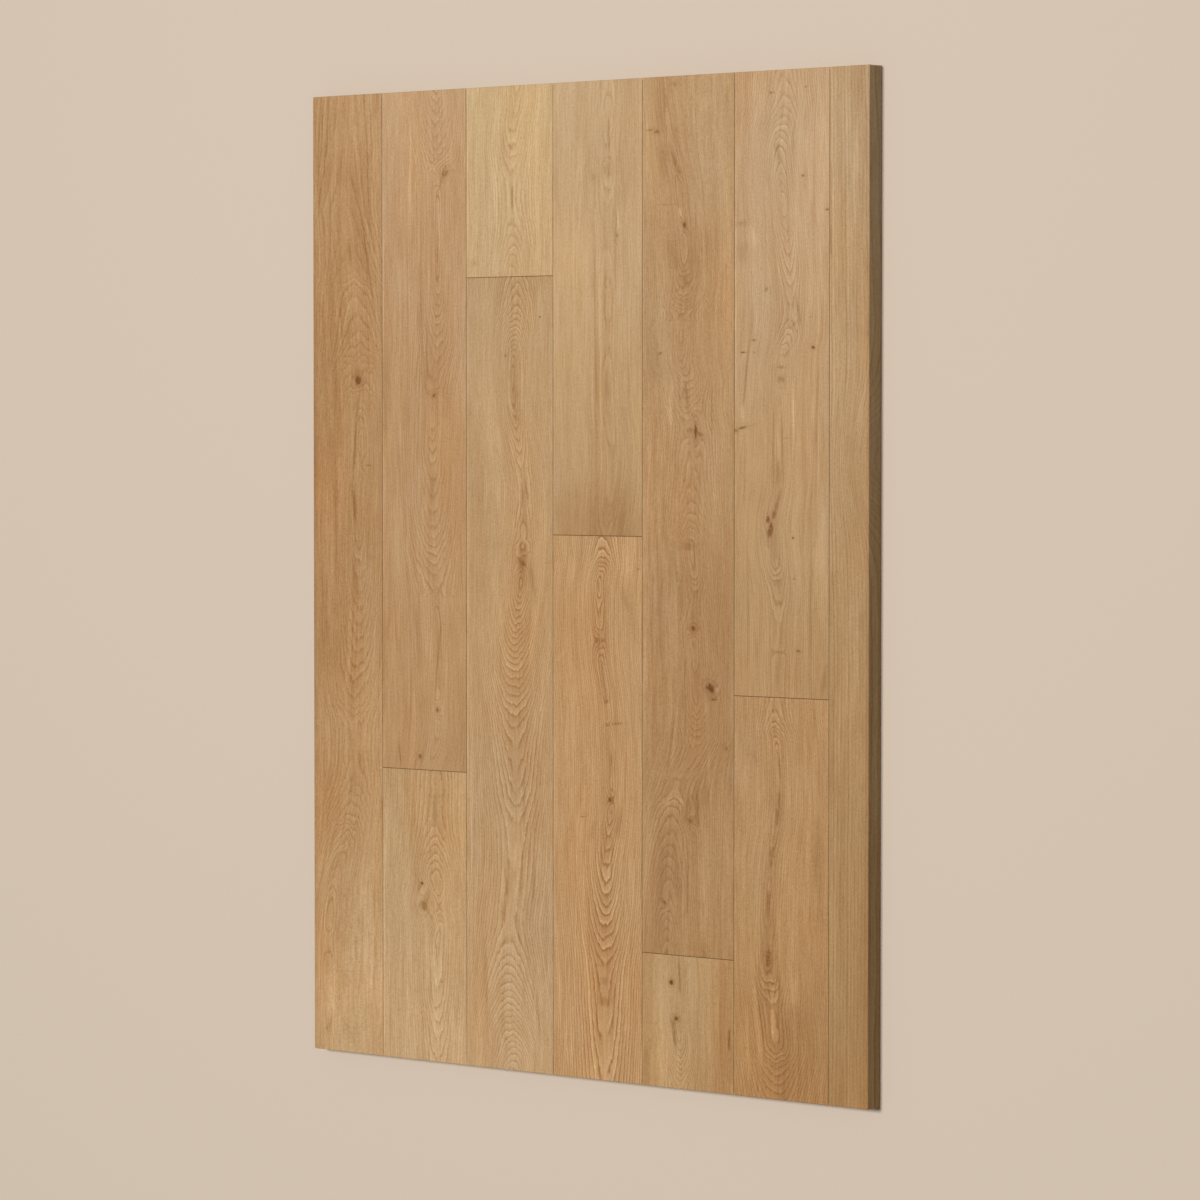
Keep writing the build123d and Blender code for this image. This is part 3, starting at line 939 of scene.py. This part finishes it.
rowSeven = {
    "node": "row_7_board",
    "footTone": (163, 126, 80),
    "headTone": (179, 146, 105),
    "seed": 12.6,
    "ringWidth": 4.2,
    "spread": 1.0,
    "figure": 1.25,
    "even": 0.3,
    "grain": 0.9,
    "zigzag": 0.0,
    "heart": [(0, 575), (500, 580), (1020, 570)],
    "depth": [(0, 45), (500, 55), (1020, 45)],
    "knots": [(766, 636, 14, 17, 45, 0.0, 0)],
    "streaks": [
        (714, 330, 714, 400, 1.5, 0.18), (731, 360, 736, 510, 3, 0.18), (736, 900, 734, 970, 5, 0.12),
        (708, 460, 708, 1030, 9, 0.14), (722, 330, 722, 540, 8, 0.14), (706, 60, 706, 350, 6, 0.18),
        (744, -60, 746, 330, 6, -0.12), (736, 465, 738, 490, 4, -0.16), (702, 830, 703, 870, 2, -0.3),
        # The last streak darkens the face along the panel's right edge: painted shade where the face meets
        # the shaded side
        (748, -150, 748, 1170, 2, -0.16),
    ],
}

for board in (
    rowOne, rowTwoHead, rowTwoFoot, rowThreeHead, rowThreeFoot, rowFourHead,
    rowFourFoot, rowFiveHead, rowFiveFoot, rowSixHead, rowSixFoot, rowSeven,
):
    oilBoard(board)
print("boards oiled")

# Studio: a pale warm floor, one large soft key from above the head, a dim even fill
studio = {
    "floorTone": (206, 191, 175),
    "floorSize": 120.0,
    "keyPlace": (-0.1, 0.9, 7.2),
    "keySize": 1.6,
    "keyPower": 470.0,
    "keyTint": (1.0, 0.985, 0.96),
    "fill": 0.2,
    "fillTint": (1.0, 0.98, 0.95, 1.0),
}
floorMesh = bpy.data.meshes.new("studio_floor")
half = studio["floorSize"] / 2
corners = [(-half, -half, 0), (half, -half, 0), (half, half, 0), (-half, half, 0)]
floorMesh.from_pydata(corners, [], [(0, 1, 2, 3)])
floor = bpy.data.objects.new("studio_floor", floorMesh)
bpy.context.collection.objects.link(floor)
paper = bpy.data.materials.new("studio_paper")
paper.use_nodes = True
paperShader = paper.node_tree.nodes["Principled BSDF"]
paperShader.inputs["Base Color"].default_value = srgb(*studio["floorTone"])
paperShader.inputs["Roughness"].default_value = 0.9
paperShader.inputs["Specular IOR Level"].default_value = 0.1
floorMesh.materials.append(paper)

keyData = bpy.data.lights.new("key", "AREA")
keyData.energy = studio["keyPower"]
keyData.size = studio["keySize"]
keyData.color = studio["keyTint"]
key = bpy.data.objects.new("key", keyData)
key.location = studio["keyPlace"]
key.rotation_euler = (-Vector(studio["keyPlace"])).to_track_quat("-Z", "Y").to_euler()
bpy.context.collection.objects.link(key)

world = bpy.data.worlds.new("studio")
world.use_nodes = True
bpy.context.scene.world = world
sky = world.node_tree.nodes["Background"]
sky.inputs["Color"].default_value = studio["fillTint"]
sky.inputs["Strength"].default_value = studio["fill"]
print("studio lit")

# Camera over the panel's right side, turned so that the head is up in the picture
view = {
    "turn": 40.656,  # degrees off the face's normal, towards the right edge
    "lift": 1.992,  # towards the head
    "target": (0.0297, -0.0185, 0.020),
    "distance": 5.1205,
    "lens": 150.61,
}
turn = Matrix.Rotation(radians(view["turn"]), 3, "Y")
lift = Matrix.Rotation(radians(-view["lift"]), 3, "X")
look = turn @ lift
cameraData = bpy.data.cameras.new("camera")
cameraData.lens = view["lens"]
cameraData.sensor_width = 36.0
cameraData.clip_end = 100.0
camera = bpy.data.objects.new("camera", cameraData)
eye = Vector(view["target"]) + look @ Vector((0, 0, view["distance"]))
camera.matrix_world = Matrix.Translation(eye) @ look.to_4x4()
bpy.context.collection.objects.link(camera)
bpy.context.scene.camera = camera
bpy.context.scene.view_settings.view_transform = "Standard"
print("camera set")
